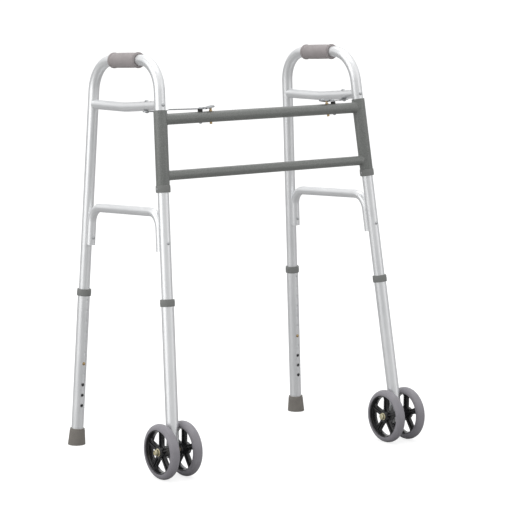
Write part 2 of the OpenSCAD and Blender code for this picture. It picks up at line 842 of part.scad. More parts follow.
paddle_catch(1);  // paddle_catch_right
snap_button(-1, 1);  // snap_button_rear_left
snap_button(1, 1);  // snap_button_rear_right
snap_button(-1, -1);  // snap_button_front_left
snap_button(1, -1);  // snap_button_front_right
snap_spring(-1, 1);  // snap_spring_rear_left
snap_spring(1, 1);  // snap_spring_rear_right
snap_spring(-1, -1);  // snap_spring_front_left
snap_spring(1, -1);  // snap_spring_front_right
rear_extension(-1);  // rear_extension_left
rear_extension(1);  // rear_extension_right
front_extension(-1);  // front_extension_left
front_extension(1);  // front_extension_right
collar(-1, 1);  // rear_collar_left
collar(1, 1);  // rear_collar_right
collar(-1, -1);  // front_collar_left
collar(1, -1);  // front_collar_right
rubber_tip(-1);  // rubber_tip_left
rubber_tip(1);  // rubber_tip_right
axle_bolt(-1);  // axle_bolt_left
axle_bolt(1);  // axle_bolt_right
tyre(-1, true);  // tyre_left_outer
tyre(-1, false);  // tyre_left_inner
tyre(1, false);  // tyre_right_inner
tyre(1, true);  // tyre_right_outer
hub(-1, true);  // hub_left_outer
hub(-1, false);  // hub_left_inner
hub(1, false);  // hub_right_inner
hub(1, true);  // hub_right_outer
hub_bearing(-1, true);  // hub_bearing_left_outer
hub_bearing(-1, false);  // hub_bearing_left_inner
hub_bearing(1, false);  // hub_bearing_right_inner
hub_bearing(1, true);  // hub_bearing_right_outer
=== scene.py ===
"""Folding walking frame: the looks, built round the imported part.

Metres, in the part's own frame: +X the user's right, -Y the way the frame travels, +Z up.
"""

import bmesh
import bpy
import numpy as np
from mathutils import Matrix


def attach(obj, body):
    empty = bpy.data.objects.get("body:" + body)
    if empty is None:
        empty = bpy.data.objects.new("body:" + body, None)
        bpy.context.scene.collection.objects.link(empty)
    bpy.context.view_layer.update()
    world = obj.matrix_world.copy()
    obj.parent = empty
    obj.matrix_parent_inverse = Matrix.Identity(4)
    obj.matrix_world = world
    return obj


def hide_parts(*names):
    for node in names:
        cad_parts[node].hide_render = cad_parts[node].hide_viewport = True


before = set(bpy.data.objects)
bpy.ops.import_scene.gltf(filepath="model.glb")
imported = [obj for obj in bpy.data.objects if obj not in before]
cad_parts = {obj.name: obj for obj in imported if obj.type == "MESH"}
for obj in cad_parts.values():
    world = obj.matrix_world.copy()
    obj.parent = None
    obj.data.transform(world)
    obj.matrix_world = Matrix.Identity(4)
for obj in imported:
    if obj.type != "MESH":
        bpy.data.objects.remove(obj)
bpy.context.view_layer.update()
SIDES = {"left": -1, "right": 1}
ENDS = {"front": -1, "rear": 1}


# ---- studio --------------------------------------------------------------------------
# A wide paper floor that runs out of sight, one large soft light standing on the left, a
# weak narrow one on the right, one overhead, and a pale sky that the tubes reflect. The
# paper is white to the eye, with its own glow, and a mid grey in reflections.

def paper_floor(half, count):
    """A square grid of points at z = 0: x and y each run from -half to half."""
    line = np.linspace(-half, half, count)
    x, y = np.meshgrid(line, line)
    return np.stack([x.ravel(), y.ravel(), np.zeros(x.size)], axis=1)


floor_count = 9
floor_half = 60
floor_points = paper_floor(floor_half, floor_count)
corner = np.arange(floor_count * floor_count).reshape(floor_count, floor_count)
floor_mesh = bpy.data.meshes.new("paper_floor")
floor_mesh.from_pydata(
    floor_points.tolist(), [],
    np.stack([corner[:-1, :-1], corner[:-1, 1:], corner[1:, 1:], corner[1:, :-1]], axis=-1)
    .reshape(-1, 4).tolist())
floor = bpy.data.objects.new("paper_floor", floor_mesh)
bpy.context.scene.collection.objects.link(floor)
paper = bpy.data.materials.new("white paper")
paper.use_nodes = True
paper_shader = paper.node_tree.nodes["Principled BSDF"]
paper_shader.inputs["Base Color"].default_value = (0.40, 0.40, 0.40, 1)
paper_shader.inputs["Roughness"].default_value = 0.9
paper_shader.inputs["Specular IOR Level"].default_value = 0.0
paper_glow = paper.node_tree.nodes.new("ShaderNodeEmission")
paper_glow.inputs["Strength"].default_value = 0.76
paper_both = paper.node_tree.nodes.new("ShaderNodeAddShader")
paper_seen = paper.node_tree.nodes.new("ShaderNodeMixShader")
paper_ray = paper.node_tree.nodes.new("ShaderNodeLightPath")
paper_out = paper.node_tree.nodes["Material Output"]
paper_link = paper.node_tree.links.new
paper_link(paper_shader.outputs["BSDF"], paper_both.inputs[0])
paper_link(paper_glow.outputs["Emission"], paper_both.inputs[1])
paper_link(paper_ray.outputs["Is Camera Ray"], paper_seen.inputs["Fac"])
paper_link(paper_shader.outputs["BSDF"], paper_seen.inputs[1])
paper_link(paper_both.outputs["Shader"], paper_seen.inputs[2])
paper_link(paper_seen.outputs["Shader"], paper_out.inputs["Surface"])
floor_mesh.materials.append(paper)

# the sky: white to the eye, in reflections bright overhead and greyer near the horizon
world = bpy.data.worlds.new("studio sky")
bpy.context.scene.world = world
world.use_nodes = True
sky = world.node_tree
sky.nodes.clear()
sky_out = sky.nodes.new("ShaderNodeOutputWorld")
seen = sky.nodes.new("ShaderNodeBackground")
seen.inputs["Color"].default_value = (1, 1, 1, 1)
seen.inputs["Strength"].default_value = 1.0
felt = sky.nodes.new("ShaderNodeBackground")
felt.inputs["Strength"].default_value = 0.95
direction = sky.nodes.new("ShaderNodeTexCoord")
height = sky.nodes.new("ShaderNodeSeparateXYZ")
ramp = sky.nodes.new("ShaderNodeValToRGB")
ramp.color_ramp.elements[0].position = 0.0
ramp.color_ramp.elements[0].color = (0.56, 0.57, 0.58, 1)
ramp.color_ramp.elements[1].position = 0.4
ramp.color_ramp.elements[1].color = (0.95, 0.95, 0.95, 1)
to_eye = sky.nodes.new("ShaderNodeLightPath")
either = sky.nodes.new("ShaderNodeMixShader")
sky.links.new(direction.outputs["Generated"], height.inputs["Vector"])
sky.links.new(height.outputs["Z"], ramp.inputs["Fac"])
sky.links.new(ramp.outputs["Color"], felt.inputs["Color"])
sky.links.new(to_eye.outputs["Is Camera Ray"], either.inputs["Fac"])
sky.links.new(felt.outputs["Background"], either.inputs[1])
sky.links.new(seen.outputs["Background"], either.inputs[2])
sky.links.new(either.outputs["Shader"], sky_out.inputs["Surface"])

# soft boxes: place, the point each looks at, width and height, power, colour
for name, place, target, size, power, colour in (
        ("left_box", (-3.6, 0.5, 1.4), (0, 0, 0.6), (3.4, 3.6), 42, (1, 1, 1)),
        ("right_box", (2.2, -3.3, 1.3), (0, 0, 0.6), (1.6, 2.6), 9, (1, 0.99, 0.98)),
        ("top_box", (0.3, 0.6, 4.2), (0, 0, 0.3), (3.0, 3.0), 40, (0.97, 0.98, 1))):
    lamp = bpy.data.lights.new(name, "AREA")
    lamp.shape = "RECTANGLE"
    lamp.size, lamp.size_y = size
    lamp.energy = power
    lamp.color = colour
    box = bpy.data.objects.new(name, lamp)
    bpy.context.scene.collection.objects.link(box)
    aim = np.array(target, float) - np.array(place, float)
    back = -aim / np.linalg.norm(aim)
    across = np.cross([0, 0, 1], back)
    across /= np.linalg.norm(across)
    box.matrix_world = Matrix([
        [*row, p] for row, p in
        zip(np.stack([across, np.cross(back, across), back], axis=1).tolist(), place)]
        + [[0, 0, 0, 1]])


# ---- camera --------------------------------------------------------------------------
# Stands off to the front left at chest height with a long lens, looking slightly down.

eye = np.array([-3.3298, -4.5641, 1.3302])
forward = np.array([0.5854, 0.7957, -0.1554])
forward /= np.linalg.norm(forward)
roll = np.radians(0.42)
level = np.cross(forward, [0, 0, 1])
level /= np.linalg.norm(level)
upright = np.cross(level, forward)
camera_x = np.cos(roll) * level + np.sin(roll) * upright
camera_y = np.cos(roll) * upright - np.sin(roll) * level
lens = bpy.data.cameras.new("camera")
lens.sensor_width = 36
lens.lens = 169.46
lens.shift_x = 0.0046
lens.shift_y = 0.0118
lens.clip_start, lens.clip_end = 0.1, 200
camera = bpy.data.objects.new("camera", lens)
bpy.context.scene.collection.objects.link(camera)
camera.matrix_world = Matrix([
    [*row, p] for row, p in
    zip(np.stack([camera_x, camera_y, -forward], axis=1).tolist(), eye)]
    + [[0, 0, 0, 1]])
bpy.context.scene.camera = camera
bpy.context.scene.view_settings.view_transform = "Standard"


# ---- side tubes ----------------------------------------------------------------------
# One aluminium tube per side, drawn, bent into an inverted U and satin anodised. It is the
# front leg, the hand rail and the rear leg in one; the leg extensions slide over its ends.

HALF_DEPTH = 0.206
SPREAD, LEAN, SPLAY = np.radians([4.62, 3.94, 3.08])
FOOT_X = 0.330
WHEEL_R = 0.0635
TIP_R = 0.02075
TUBE_R = 0.0127
TUBE_WALL = 0.0015
GRIP_HEIGHT = 0.9285
AXLE_S = (WHEEL_R / np.cos(SPLAY) - HALF_DEPTH * np.sin(LEAN)) / np.cos(SPREAD + LEAN)
FLOOR_S = HALF_DEPTH * np.sin(LEAN) / np.cos(SPREAD - LEAN)
FRONT_REACH = HALF_DEPTH * np.cos(LEAN) - AXLE_S * np.sin(SPREAD + LEAN) + WHEEL_R
REAR_REACH = HALF_DEPTH * np.cos(LEAN) + FLOOR_S * np.sin(LEAN - SPREAD) + TIP_R
FRAME_Y = (FRONT_REACH - REAR_REACH) / 2


def shift(x, y, z):
    """A move by x, y, z, as a 4 x 4 matrix."""
    m = np.eye(4)
    m[:3, 3] = (x, y, z)
    return m


def turn(axis, angle):
    """A right-handed turn about the coordinate axis 0, 1 or 2, as a 4 x 4 matrix."""
    m = np.eye(4)
    i, j = (axis + 1) % 3, (axis + 2) % 3
    m[i, i] = m[j, j] = np.cos(angle)
    m[j, i], m[i, j] = np.sin(angle), -np.sin(angle)
    return m


def side_place(side):
    """Side frame axes: y rearward, z up its centre line; the left one is a mirror image."""
    right = shift(FOOT_X, FRAME_Y, 0) @ turn(1, -SPLAY) @ turn(0, -LEAN)
    return np.diag([SIDES[side], 1, 1, 1]) @ right


def leg_place(side, end):
    """Leg axes: z up the leg from the floor plane, y rearward across it."""
    return side_place(side) @ shift(0, ENDS[end] * HALF_DEPTH, 0) \
        @ turn(0, ENDS[end] * SPREAD)


def grid_faces(rows, cols, closed_rows, first):
    """Quads between neighbouring rows and columns, columns always closing on themselves."""
    r = np.arange(rows if closed_rows else rows - 1)
    c = np.arange(cols)
    r0, c0 = np.meshgrid(r, c, indexing="ij")
    r1, c1 = (r0 + 1) % rows, (c0 + 1) % cols
    quads = np.stack([r0 * cols + c0, r0 * cols + c1, r1 * cols + c1, r1 * cols + c0], -1)
    u = np.stack([c0, c0 + 1, c0 + 1, c0], -1) / cols
    return quads.reshape(-1, 4) + first, u.reshape(-1, 4), r0.reshape(-1), r1.reshape(-1)


def make_piece(name, surfaces, place, finish, body, replaces=(), crease=35):
    """A mesh from grids of points (rows, columns, 3), each closed round its columns.

    A grid given as a pair (points, True) also closes round its rows. Every point goes
    through the 4 x 4 matrix place. The UV map "along" is metres round and metres along.
    """
    verts, quads, uvs, first = [], [], [], 0
    for surface in surfaces:
        points, closed = surface if isinstance(surface, tuple) else (surface, False)
        rows, cols = points.shape[:2]
        faces, u, r0, r1 = grid_faces(rows, cols, closed, first)
        middle = points.mean(axis=1)
        step = np.linalg.norm(np.diff(middle, axis=0), axis=1)
        reach = np.linalg.norm(points - middle[:, None], axis=2).mean(axis=1)
        rim = np.abs(np.diff(reach))
        along = np.concatenate([[0], np.cumsum(np.hypot(step, rim))])
        girth = 2 * np.pi * reach.max()
        v = np.stack([along[r0], along[r0], along[r1], along[r1]], -1)
        verts.append(points.reshape(-1, 3))
        quads.append(faces)
        uvs.append(np.stack([u * girth, v], -1).reshape(-1, 2))
        first += rows * cols
    points = np.concatenate(verts)
    points = points @ place[:3, :3].T + place[:3, 3]
    mesh = bpy.data.meshes.new(name)
    mesh.from_pydata(points.tolist(), [], np.concatenate(quads).tolist())
    layer = mesh.uv_layers.new(name="along")
    layer.data.foreach_set("uv", np.concatenate(uvs).astype(np.float32).ravel())
    tidy = bmesh.new()
    tidy.from_mesh(mesh)
    bmesh.ops.remove_doubles(tidy, verts=tidy.verts, dist=2e-6)
    bmesh.ops.dissolve_degenerate(tidy, edges=tidy.edges, dist=1e-7)
    bmesh.ops.recalc_face_normals(tidy, faces=tidy.faces)
    tidy.to_mesh(mesh)
    tidy.free()
    mesh.shade_smooth()
    mesh.set_sharp_from_angle(angle=np.radians(crease))
    mesh.materials.append(finish)
    piece = bpy.data.objects.new(name, mesh)
    bpy.context.scene.collection.objects.link(piece)
    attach(piece, body)
    if replaces:
        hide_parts(*([replaces] if isinstance(replaces, str) else replaces))
    return piece


def arch(inset, top, bend_r, foot, steps=22):
    """Centre line of an inverted U in the side frame's plane, from rear foot to front foot.

    Its legs run parallel to the frame's legs, moved towards each other by inset, and its
    top lies at height top; each corner is an arc of bend_r. foot is where the legs start.
    """
    lead = bend_r * np.tan((np.pi / 2 - SPREAD) / 2)
    u = HALF_DEPTH - top * np.tan(SPREAD) - inset / np.cos(SPREAD) - lead
    a = np.linspace(SPREAD, np.pi / 2, steps)
    bend = np.stack([u + bend_r * np.cos(a), top - bend_r + bend_r * np.sin(a)], axis=1)
    start = np.array([HALF_DEPTH - foot * np.sin(SPREAD) - inset * np.cos(SPREAD),
                      foot * np.cos(SPREAD) - inset * np.sin(SPREAD)])
    leg = start + np.linspace(0, 1, 14)[:-1, None] * (bend[0] - start)
    half = np.concatenate([leg, bend, [[u * 0.5, top]]])
    return np.concatenate([half, half[::-1] * [-1, 1]])


def pipe(path, radius, around=56):
    """Circles of radius set square to a plane path of (y, z) points: rows of points.

    radius is one number or one for each point of the path.
    """
    along = np.gradient(path, axis=0)
    along /= np.linalg.norm(along, axis=1)[:, None]
    out = np.stack([along[:, 1], -along[:, 0]], axis=1)
    t = np.linspace(0, 2 * np.pi, around, endpoint=False)
    r = np.broadcast_to(radius, len(path))[:, None]
    x = r * np.sin(t)
    side_step = (r * np.cos(t))[..., None] * out[:, None]
    return np.concatenate([x[..., None], path[:, None] + side_step], axis=2)


def wall_of(outer, inner):
    """Outer rows then inner rows backwards: a tube wall, closed round its rows."""
    return (np.concatenate([outer, inner[::-1]]), True)


def grain_group():
    """Node group: a fine random grain of a given size, as a tone and as a bumped normal."""
    group = bpy.data.node_groups.new("grain", "ShaderNodeTree")
    for socket, kind, value in (("Place", "NodeSocketVector", None),
                                ("Size", "NodeSocketFloat", 0.001),
                                ("Depth", "NodeSocketFloat", 0.1),
                                ("Detail", "NodeSocketFloat", 3)):
        s = group.interface.new_socket(socket, in_out="INPUT", socket_type=kind)
        if value is not None:
            s.default_value = value
    group.interface.new_socket("Tone", in_out="OUTPUT", socket_type="NodeSocketFloat")
    group.interface.new_socket("Normal", in_out="OUTPUT", socket_type="NodeSocketVector")
    n, l = group.nodes, group.links
    gin, gout = n.new("NodeGroupInput"), n.new("NodeGroupOutput")
    per_metre = n.new("ShaderNodeMath")
    per_metre.operation = "DIVIDE"
    per_metre.inputs[0].default_value = 1
    noise = n.new("ShaderNodeTexNoise")
    bump = n.new("ShaderNodeBump")
    l.new(gin.outputs["Size"], per_metre.inputs[1])
    l.new(gin.outputs["Place"], noise.inputs["Vector"])
    l.new(per_metre.outputs[0], noise.inputs["Scale"])
    l.new(gin.outputs["Detail"], noise.inputs["Detail"])
    l.new(noise.outputs["Fac"], bump.inputs["Height"])
    l.new(gin.outputs["Depth"], bump.inputs["Strength"])
    l.new(gin.outputs["Size"], bump.inputs["Distance"])
    l.new(noise.outputs["Fac"], gout.inputs["Tone"])
    l.new(bump.outputs["Normal"], gout.inputs["Normal"])
    return group


GRAIN = grain_group()


def edge_group():
    """Node group: a mask that is 1 on worn outer edges, broken up by a coarse noise."""
    group = bpy.data.node_groups.new("worn edges", "ShaderNodeTree")
    amount = group.interface.new_socket("Amount", in_out="INPUT", socket_type="NodeSocketFloat")
    amount.default_value = 1
    group.interface.new_socket("Mask", in_out="OUTPUT", socket_type="NodeSocketFloat")
    n, l = group.nodes, group.links
    gin, gout = n.new("NodeGroupInput"), n.new("NodeGroupOutput")
    shape = n.new("ShaderNodeNewGeometry")
    sharp = n.new("ShaderNodeMapRange")
    sharp.inputs["From Min"].default_value = 0.53
    sharp.inputs["From Max"].default_value = 0.62
    place = n.new("ShaderNodeTexCoord")
    noise = n.new("ShaderNodeTexNoise")
    noise.inputs["Scale"].default_value = 140
    broken = n.new("ShaderNodeMath")
    broken.operation = "MULTIPLY"
    scaled = n.new("ShaderNodeMath")
    scaled.operation = "MULTIPLY"
    l.new(shape.outputs["Pointiness"], sharp.inputs["Value"])
    l.new(place.outputs["Object"], noise.inputs["Vector"])
    l.new(sharp.outputs["Result"], broken.inputs[0])
    l.new(noise.outputs["Fac"], broken.inputs[1])
    l.new(broken.outputs[0], scaled.inputs[0])
    l.new(gin.outputs["Amount"], scaled.inputs[1])
    l.new(scaled.outputs[0], gout.inputs["Mask"])
    return group


WORN_EDGES = edge_group()


def surface_finish(name, low, high, rough, size, depth, metallic=0.0, worn=0.0,
                   worn_colour=(0.5, 0.5, 0.5), detail=3.0, stretch=None, upright=None, cloud=0.02,
                   **fixed):
    """A material whose colour runs from low to high and roughness over rough with a grain.

    size is the grain's size in metres and depth its bump. stretch, a pair of factors on the
    UV map "along", draws the grain out lengthwise; upright, a leg's place, does so along
    that leg instead. cloud is the size of a second, broad and weak variation. fixed are
    constants for the shader's own sockets.
    """
    material = bpy.data.materials.new(name)
    material.use_nodes = True
    n, l = material.node_tree.nodes, material.node_tree.links
    shader = n["Principled BSDF"]
    for socket, value in fixed.items():
        shader.inputs[socket.replace("_", " ")].default_value = value
    shader.inputs["Metallic"].default_value = metallic
    place = n.new("ShaderNodeTexCoord")
    grain = n.new("ShaderNodeGroup")
    grain.node_tree = GRAIN
    grain.inputs["Size"].default_value = size
    grain.inputs["Depth"].default_value = depth
    grain.inputs["Detail"].default_value = detail
    if stretch:
        draw = n.new("ShaderNodeMapping")
        draw.inputs["Scale"].default_value = (*stretch, 1)
        l.new(place.outputs["UV"], draw.inputs["Vector"])
        l.new(draw.outputs["Vector"], grain.inputs["Place"])
    elif upright is not None:
        level = n.new("ShaderNodeMapping")
        spin = Matrix(upright[:3, :3].tolist()).inverted()
        level.inputs["Rotation"].default_value = spin.to_euler()
        draw = n.new("ShaderNodeMapping")
        draw.inputs["Scale"].default_value = (1, 1, 0.012)
        l.new(place.outputs["Object"], level.inputs["Vector"])
        l.new(level.outputs["Vector"], draw.inputs["Vector"])
        l.new(draw.outputs["Vector"], grain.inputs["Place"])
    else:
        l.new(place.outputs["Object"], grain.inputs["Place"])
    broad = n.new("ShaderNodeTexNoise")
    broad.inputs["Scale"].default_value = 1 / cloud
    l.new(place.outputs["Object"], broad.inputs["Vector"])
    blend = n.new("ShaderNodeMix")
    blend.data_type = "FLOAT"
    blend.inputs["Factor"].default_value = 0.35
    l.new(grain.outputs["Tone"], blend.inputs["A"])
    l.new(broad.outputs["Fac"], blend.inputs["B"])
    spread = n.new("ShaderNodeMapRange")
    spread.inputs["From Min"].default_value = 0.36
    spread.inputs["From Max"].default_value = 0.64
    l.new(blend.outputs["Result"], spread.inputs["Value"])
    colour = n.new("ShaderNodeMix")
    colour.data_type = "RGBA"
    colour.inputs["A"].default_value = (*low, 1)
    colour.inputs["B"].default_value = (*high, 1)
    l.new(spread.outputs["Result"], colour.inputs["Factor"])
    gloss = n.new("ShaderNodeMapRange")
    gloss.inputs["To Min"].default_value, gloss.inputs["To Max"].default_value = rough
    l.new(spread.outputs["Result"], gloss.inputs["Value"])
    l.new(gloss.outputs["Result"], shader.inputs["Roughness"])
    l.new(grain.outputs["Normal"], shader.inputs["Normal"])
    if worn:
        edges = n.new("ShaderNodeGroup")
        edges.node_tree = WORN_EDGES
        edges.inputs["Amount"].default_value = worn
        rubbed = n.new("ShaderNodeMix")
        rubbed.data_type = "RGBA"
        rubbed.inputs["B"].default_value = (*worn_colour, 1)
        l.new(edges.outputs["Mask"], rubbed.inputs["Factor"])
        l.new(colour.outputs["Result"], rubbed.inputs["A"])
        l.new(rubbed.outputs["Result"], shader.inputs["Base Color"])
    else:
        l.new(colour.outputs["Result"], shader.inputs["Base Color"])
    return material


ANODISED = surface_finish(
    "satin anodised aluminium", (0.84, 0.85, 0.86), (0.90, 0.905, 0.91), (0.38, 0.48),
    0.0011, 0.05, metallic=1.0, stretch=(1, 0.012), cloud=0.06)
tube_foot = 0.173
rail = arch(0, GRIP_HEIGHT, 0.076, tube_foot)
for side in SIDES:
    make_piece(f"side_tube_{side}_drawn",
               [wall_of(pipe(rail, TUBE_R), pipe(rail, TUBE_R - TUBE_WALL))],
               side_place(side), ANODISED, f"side_frame_{side}",
               f"side_tube_{side}")


# ---- upper braces --------------------------------------------------------------------
# Aluminium tubes between the two legs of a side frame, dipping a little at the middle.
# Each end is saddle-cut onto its leg and riveted to it.

UPPER_BRACE_HEIGHT = GRIP_HEIGHT - 0.102
UPPER_BRACE_R = 0.011
brace_sag = 0.0057
brace_half = HALF_DEPTH - UPPER_BRACE_HEIGHT * np.tan(SPREAD)
dip_length = 0.012
brace_short = 0.0066     # how far the brace stops before the leg's axis


def capped(rows):
    """Rows of points with a last row at each end drawn together to the row's middle."""
    low = np.broadcast_to(rows[0].mean(axis=0), rows[0].shape)
    high = np.broadcast_to(rows[-1].mean(axis=0), rows[-1].shape)
    return np.concatenate([low[None], rows, high[None]])


def push_out(points, place, radius):
    """Points nearer than radius to the z axis of place, moved straight out to that radius."""
    local = (points - place[:3, 3]) @ np.linalg.inv(place[:3, :3]).T
    distance = np.maximum(np.hypot(local[..., 0], local[..., 1]), 1e-6)
    local[..., :2] *= np.maximum(radius / distance, 1)[..., None]
    return local @ place[:3, :3].T + place[:3, 3]


def fitted(points, radius):
    """A brace's points, in the side frame, cupped onto both legs at radius."""
    for end in ENDS:
        leg = shift(0, ENDS[end] * HALF_DEPTH, 0) @ turn(0, ENDS[end] * SPREAD)
        points = push_out(points, leg, radius)
    return points


y = np.linspace(-1, 1, 90) * (brace_half - brace_short)
fall = brace_sag * (1 - np.sqrt(y ** 2 + dip_length ** 2) / brace_half)
dip = np.stack([y, UPPER_BRACE_HEIGHT - fall], axis=1)
for side in SIDES:
    make_piece(f"upper_brace_{side}_dipped",
               [fitted(capped(pipe(dip, UPPER_BRACE_R, 48)), TUBE_R - 0.0003)],
               side_place(side), ANODISED, f"side_frame_{side}",
               f"upper_brace_{side}")


# ---- lower braces --------------------------------------------------------------------
# An inverted U of thinner tube. Its tails run down beside the legs, where a press has
# cupped them round the leg, and one rivet holds each.

lower_brace_r = 0.01025
lower_brace_wall = 0.0015
lower_brace_height = 0.584
cup_depth = 0.004
tail_end = (lower_brace_height - 0.087) / np.cos(SPREAD)
stirrup = arch(TUBE_R + lower_brace_r - cup_depth, lower_brace_height, 0.038, tail_end)
for side in SIDES:
    outer = fitted(pipe(stirrup, lower_brace_r, 48), TUBE_R + 0.00005)
    inner = fitted(pipe(stirrup, lower_brace_r - lower_brace_wall, 48),
                   TUBE_R + 0.00005 + lower_brace_wall)
    make_piece(f"lower_brace_{side}_cupped", [wall_of(outer, inner)], side_place(side),
               ANODISED, f"side_frame_{side}", f"lower_brace_{side}")


# ---- hand grips ----------------------------------------------------------------------
# Soft vinyl sleeves, moulded with a flange at each end and fine ribs along the barrel,
# pushed onto the rail before it is bent.

grip_half = 0.054
grip_barrel_r = 0.0169   # beyond this radius, and inside the flanges, the surface is ribbed
grip_barrel_half = 0.044
grip_ribs = 60
grip_rib_depth = 0.00016


def soften(corners, radius, closed=True, steps=5):
    """A profile whose corners are short quadratic curves, each starting radius from its corner.

    At a corner P between points A and C the curve is (1-t)^2 A + 2t(1-t) P + t^2 C.
    """
    p = np.array(corners, float)
    to_last, to_next = np.roll(p, 1, axis=0) - p, np.roll(p, -1, axis=0) - p
    len_last = np.linalg.norm(to_last, axis=1)[:, None]
    len_next = np.linalg.norm(to_next, axis=1)[:, None]
    a = p + to_last * np.minimum(radius / len_last, 0.45)
    c = p + to_next * np.minimum(radius / len_next, 0.45)
    t = np.linspace(0, 1, steps)[None, :, None]
    curve = (1 - t) ** 2 * a[:, None] + 2 * t * (1 - t) * p[:, None] + t ** 2 * c[:, None]
    if closed:
        return curve.reshape(-1, 2)
    return np.concatenate([p[:1], curve[1:-1].reshape(-1, 2), p[-1:]])


def lathe(profile, around=64, ripple=None):
    """A profile of (radius, height) points turned round the z axis: rows of points.

    ripple, if given, is added to the radius: one value for each point and direction.
    """
    t = np.linspace(0, 2 * np.pi, around, endpoint=False)
    r = profile[:, :1] + (0 if ripple is None else ripple)
    r = np.broadcast_to(r, (len(profile), around))
    z = np.broadcast_to(profile[:, 1:], r.shape)
    return np.stack([r * np.cos(t), r * np.sin(t), z], axis=-1)


VINYL = surface_finish(
    "soft grey vinyl", (0.315, 0.286, 0.286), (0.395, 0.362, 0.362), (0.50, 0.62),
    0.0009, 0.35, worn=0.25, worn_colour=(0.42, 0.40, 0.40), Specular_IOR_Level=0.4)
half_profile = [
    (0.01275, 0.0), (0.0176, 0.0), (0.0175, 0.030), (0.01705, 0.0425), (0.01655, 0.0442),
    (0.01655, 0.0464), (0.0184, 0.0472), (0.0184, 0.0518), (0.0166, 0.0524),
    (0.0166, grip_half), (0.01275, grip_half)]
mirrored = [(r, -z) for r, z in half_profile[::-1]]
grip_profile = soften(half_profile[1:] + mirrored[:-1], 0.0011)
turns = np.linspace(0, 2 * np.pi, 4 * grip_ribs, endpoint=False)
on_barrel = (grip_profile[:, :1] > grip_barrel_r) \
    & (np.abs(grip_profile[:, 1:]) < grip_barrel_half)
ripple = -grip_rib_depth * on_barrel * (0.5 + 0.5 * np.cos(grip_ribs * turns))
for side in SIDES:
    make_piece(f"hand_grip_{side}_ribbed", [(lathe(grip_profile, len(turns), ripple), True)],
               side_place(side) @ shift(0, 0, GRIP_HEIGHT) @ turn(0, np.pi / 2),
               VINYL, f"side_frame_{side}", f"hand_grip_{side}")


# ---- cross frame ---------------------------------------------------------------------
# Two steel hinge sleeves with an upper and a lower crossbar welded between them, the
# whole in one hammered grey powder coat. The weld runs round each bar's end.

SLEEVE_R = 0.0155
sleeve_bore_r = 0.0128
BRACE_S = UPPER_BRACE_HEIGHT / np.cos(SPREAD)
SLEEVE_TOP = BRACE_S - UPPER_BRACE_R - 0.001
SLEEVE_BOTTOM = SLEEVE_TOP - 0.169
BAR_S = {"upper": SLEEVE_TOP - 0.0207, "lower": SLEEVE_BOTTOM + 0.021}
BAR_R = {"upper": 0.0127, "lower": 0.0111}
bar_into_sleeve = 0.009  # how far a bar's end is held back from the sleeve's axis
weld_r = 0.0023
weld_sunk = 0.0006
weld_ripples = 30

HAMMERED = surface_finish(
    "hammered grey powder coat", (0.115, 0.122, 0.114), (0.225, 0.234, 0.222), (0.30, 0.46),
    0.0011, 0.45, worn=0.3, worn_colour=(0.30, 0.31, 0.31), detail=1.5, cloud=0.0024,
    Coat_Weight=0.6, Coat_Roughness=0.3)
for side in SIDES:
    sleeve = soften([(sleeve_bore_r, SLEEVE_BOTTOM), (SLEEVE_R, SLEEVE_BOTTOM),
                     (SLEEVE_R, SLEEVE_TOP), (sleeve_bore_r, SLEEVE_TOP)], 0.0006)
    make_piece(f"hinge_sleeve_{side}_coated", [(lathe(sleeve, 72), True)],
               leg_place(side, "front"), HAMMERED, "cross_frame",
               f"hinge_sleeve_{side}")

for bar in BAR_S:
    middle = (leg_place("right", "front") @ [0, 0, BAR_S[bar], 1])[:3]
    x = np.linspace(-1, 1, 40) * (middle[0] - bar_into_sleeve)
    rod = lathe(np.stack([np.full(40, BAR_R[bar]), x], axis=1), 56)
    rod = capped(rod)[..., [2, 1, 0]] + [0, middle[1], middle[2]]
    for side in SIDES:
        rod = push_out(rod, leg_place(side, "front"), SLEEVE_R - 0.0004)
    make_piece(f"{bar}_crossbar_coated", [rod], np.eye(4), HAMMERED, "cross_frame",
               f"{bar}_crossbar")

    # where a line along the bar's skin meets the sleeve: the nearer root of the quadratic
    # |w + t e| = R, with w and e the line's start and direction square to the sleeve
    leg = leg_place("right", "front")
    up = leg[:3, 2]
    phi = np.linspace(0, 2 * np.pi, 8 * weld_ripples, endpoint=False)
    radial = np.stack([0 * phi, np.cos(phi), np.sin(phi)], axis=1)
    start = [0, middle[1], middle[2]] + BAR_R[bar] * radial
    w = start - leg[:3, 3]
    w = w - (w @ up)[:, None] * up
    e = np.array([1.0, 0, 0]) - up[0] * up
    b, c = w @ e, (w ** 2).sum(axis=1) - SLEEVE_R ** 2
    reach = (-b - np.sqrt(b ** 2 - (e @ e) * c)) / (e @ e)
    seam = start + reach[:, None] * [1, 0, 0] - radial * weld_sunk
    psi = np.linspace(0, 2 * np.pi, 16, endpoint=False)
    size = weld_r * (1 + 0.09 * np.cos(weld_ripples * phi))[:, None, None]
    bead = seam[:, None] + size * (
        np.cos(psi)[None, :, None] * radial[:, None]
        - np.sin(psi)[None, :, None] * np.array([1.0, 0, 0]))
    for side in SIDES:
        make_piece(f"weld_bead_{bar}_{side}", [(bead, True)], np.diag([SIDES[side], 1, 1, 1]),
                   HAMMERED, "cross_frame")


# ---- leg extensions ------------------------------------------------------------------
# Larger anodised tubes that slide over the side tube's ends, each with a row of height
# holes facing the other leg. Their own holes are kept; only the finish is put on them.

def dress(node, finish):
    """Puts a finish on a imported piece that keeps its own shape."""
    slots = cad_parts[node].data.materials
    for i in range(len(slots)):
        slots[i] = finish
    if not slots:
        slots.append(finish)


